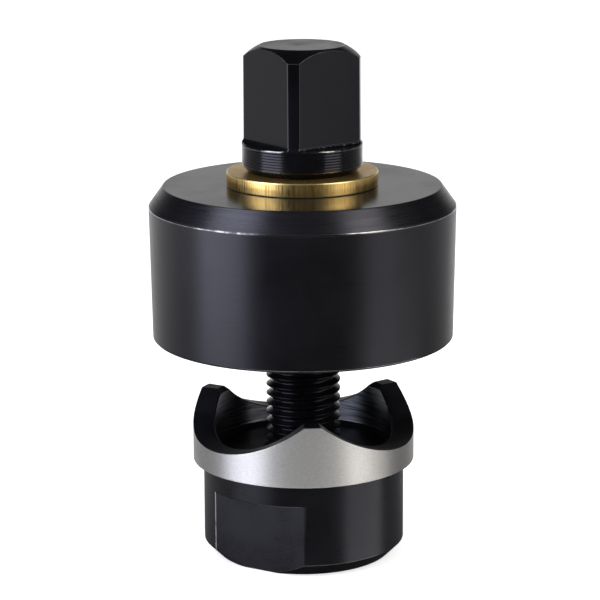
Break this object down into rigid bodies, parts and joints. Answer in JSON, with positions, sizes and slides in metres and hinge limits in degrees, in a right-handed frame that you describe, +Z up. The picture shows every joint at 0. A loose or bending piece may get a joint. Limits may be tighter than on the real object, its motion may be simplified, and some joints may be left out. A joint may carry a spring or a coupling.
{
  "type": "knockout punch",
  "caption": "Screw-drawn knockout punch: a three-point punch pulled up into a cup-shaped die to cut a round hole in sheet metal.",
  "frame": {"origin": "middle of the face that the punch stands on, on the screw's axis", "axes": "+Z up along the screw's axis, from the punch's foot to the square; -Y towards the nearest cutting point"},
  "size_m": [0.0648, 0.0648, 0.1094],
  "materials": {
    "punch_steel": "blackened, with a ground bright band round the cutting end",
    "die_steel": "blackened, satin, fine turning marks",
    "washer_brass": "bare brass, rubbed edge",
    "screw_steel": "blackened, milled square, oiled thread",
    "spring_steel": "phosphated spring steel"
  },
  "bodies": {
    "punch": {"punch": "punch_steel"},
    "die": {"die": "die_steel"},
    "washer": {"thrust_washer": "washer_brass"},
    "screw": {"drive_screw": "screw_steel", "retaining_ring": "spring_steel"}
  },
  "joints": [
    {"name": "die_travel", "type": "slide", "parent": "punch", "child": "die", "axis": [0, 0, 1], "range_m": [-0.036, 0.018]},
    {"name": "screw_turn", "type": "hinge", "parent": "die", "child": "screw", "pos_m": [0, 0, 0.083], "axis": [0, 0, 1], "range_deg": [-6480, 3240]},
    {"name": "washer_spin", "type": "hinge", "parent": "die", "child": "washer", "pos_m": [0, 0, 0.0815], "axis": [0, 0, 1], "continuous": true}
  ],
  "couplings": [
    {"joint": "screw_turn", "follows": "die_travel", "rad_per_m": 3141.6}
  ]
}
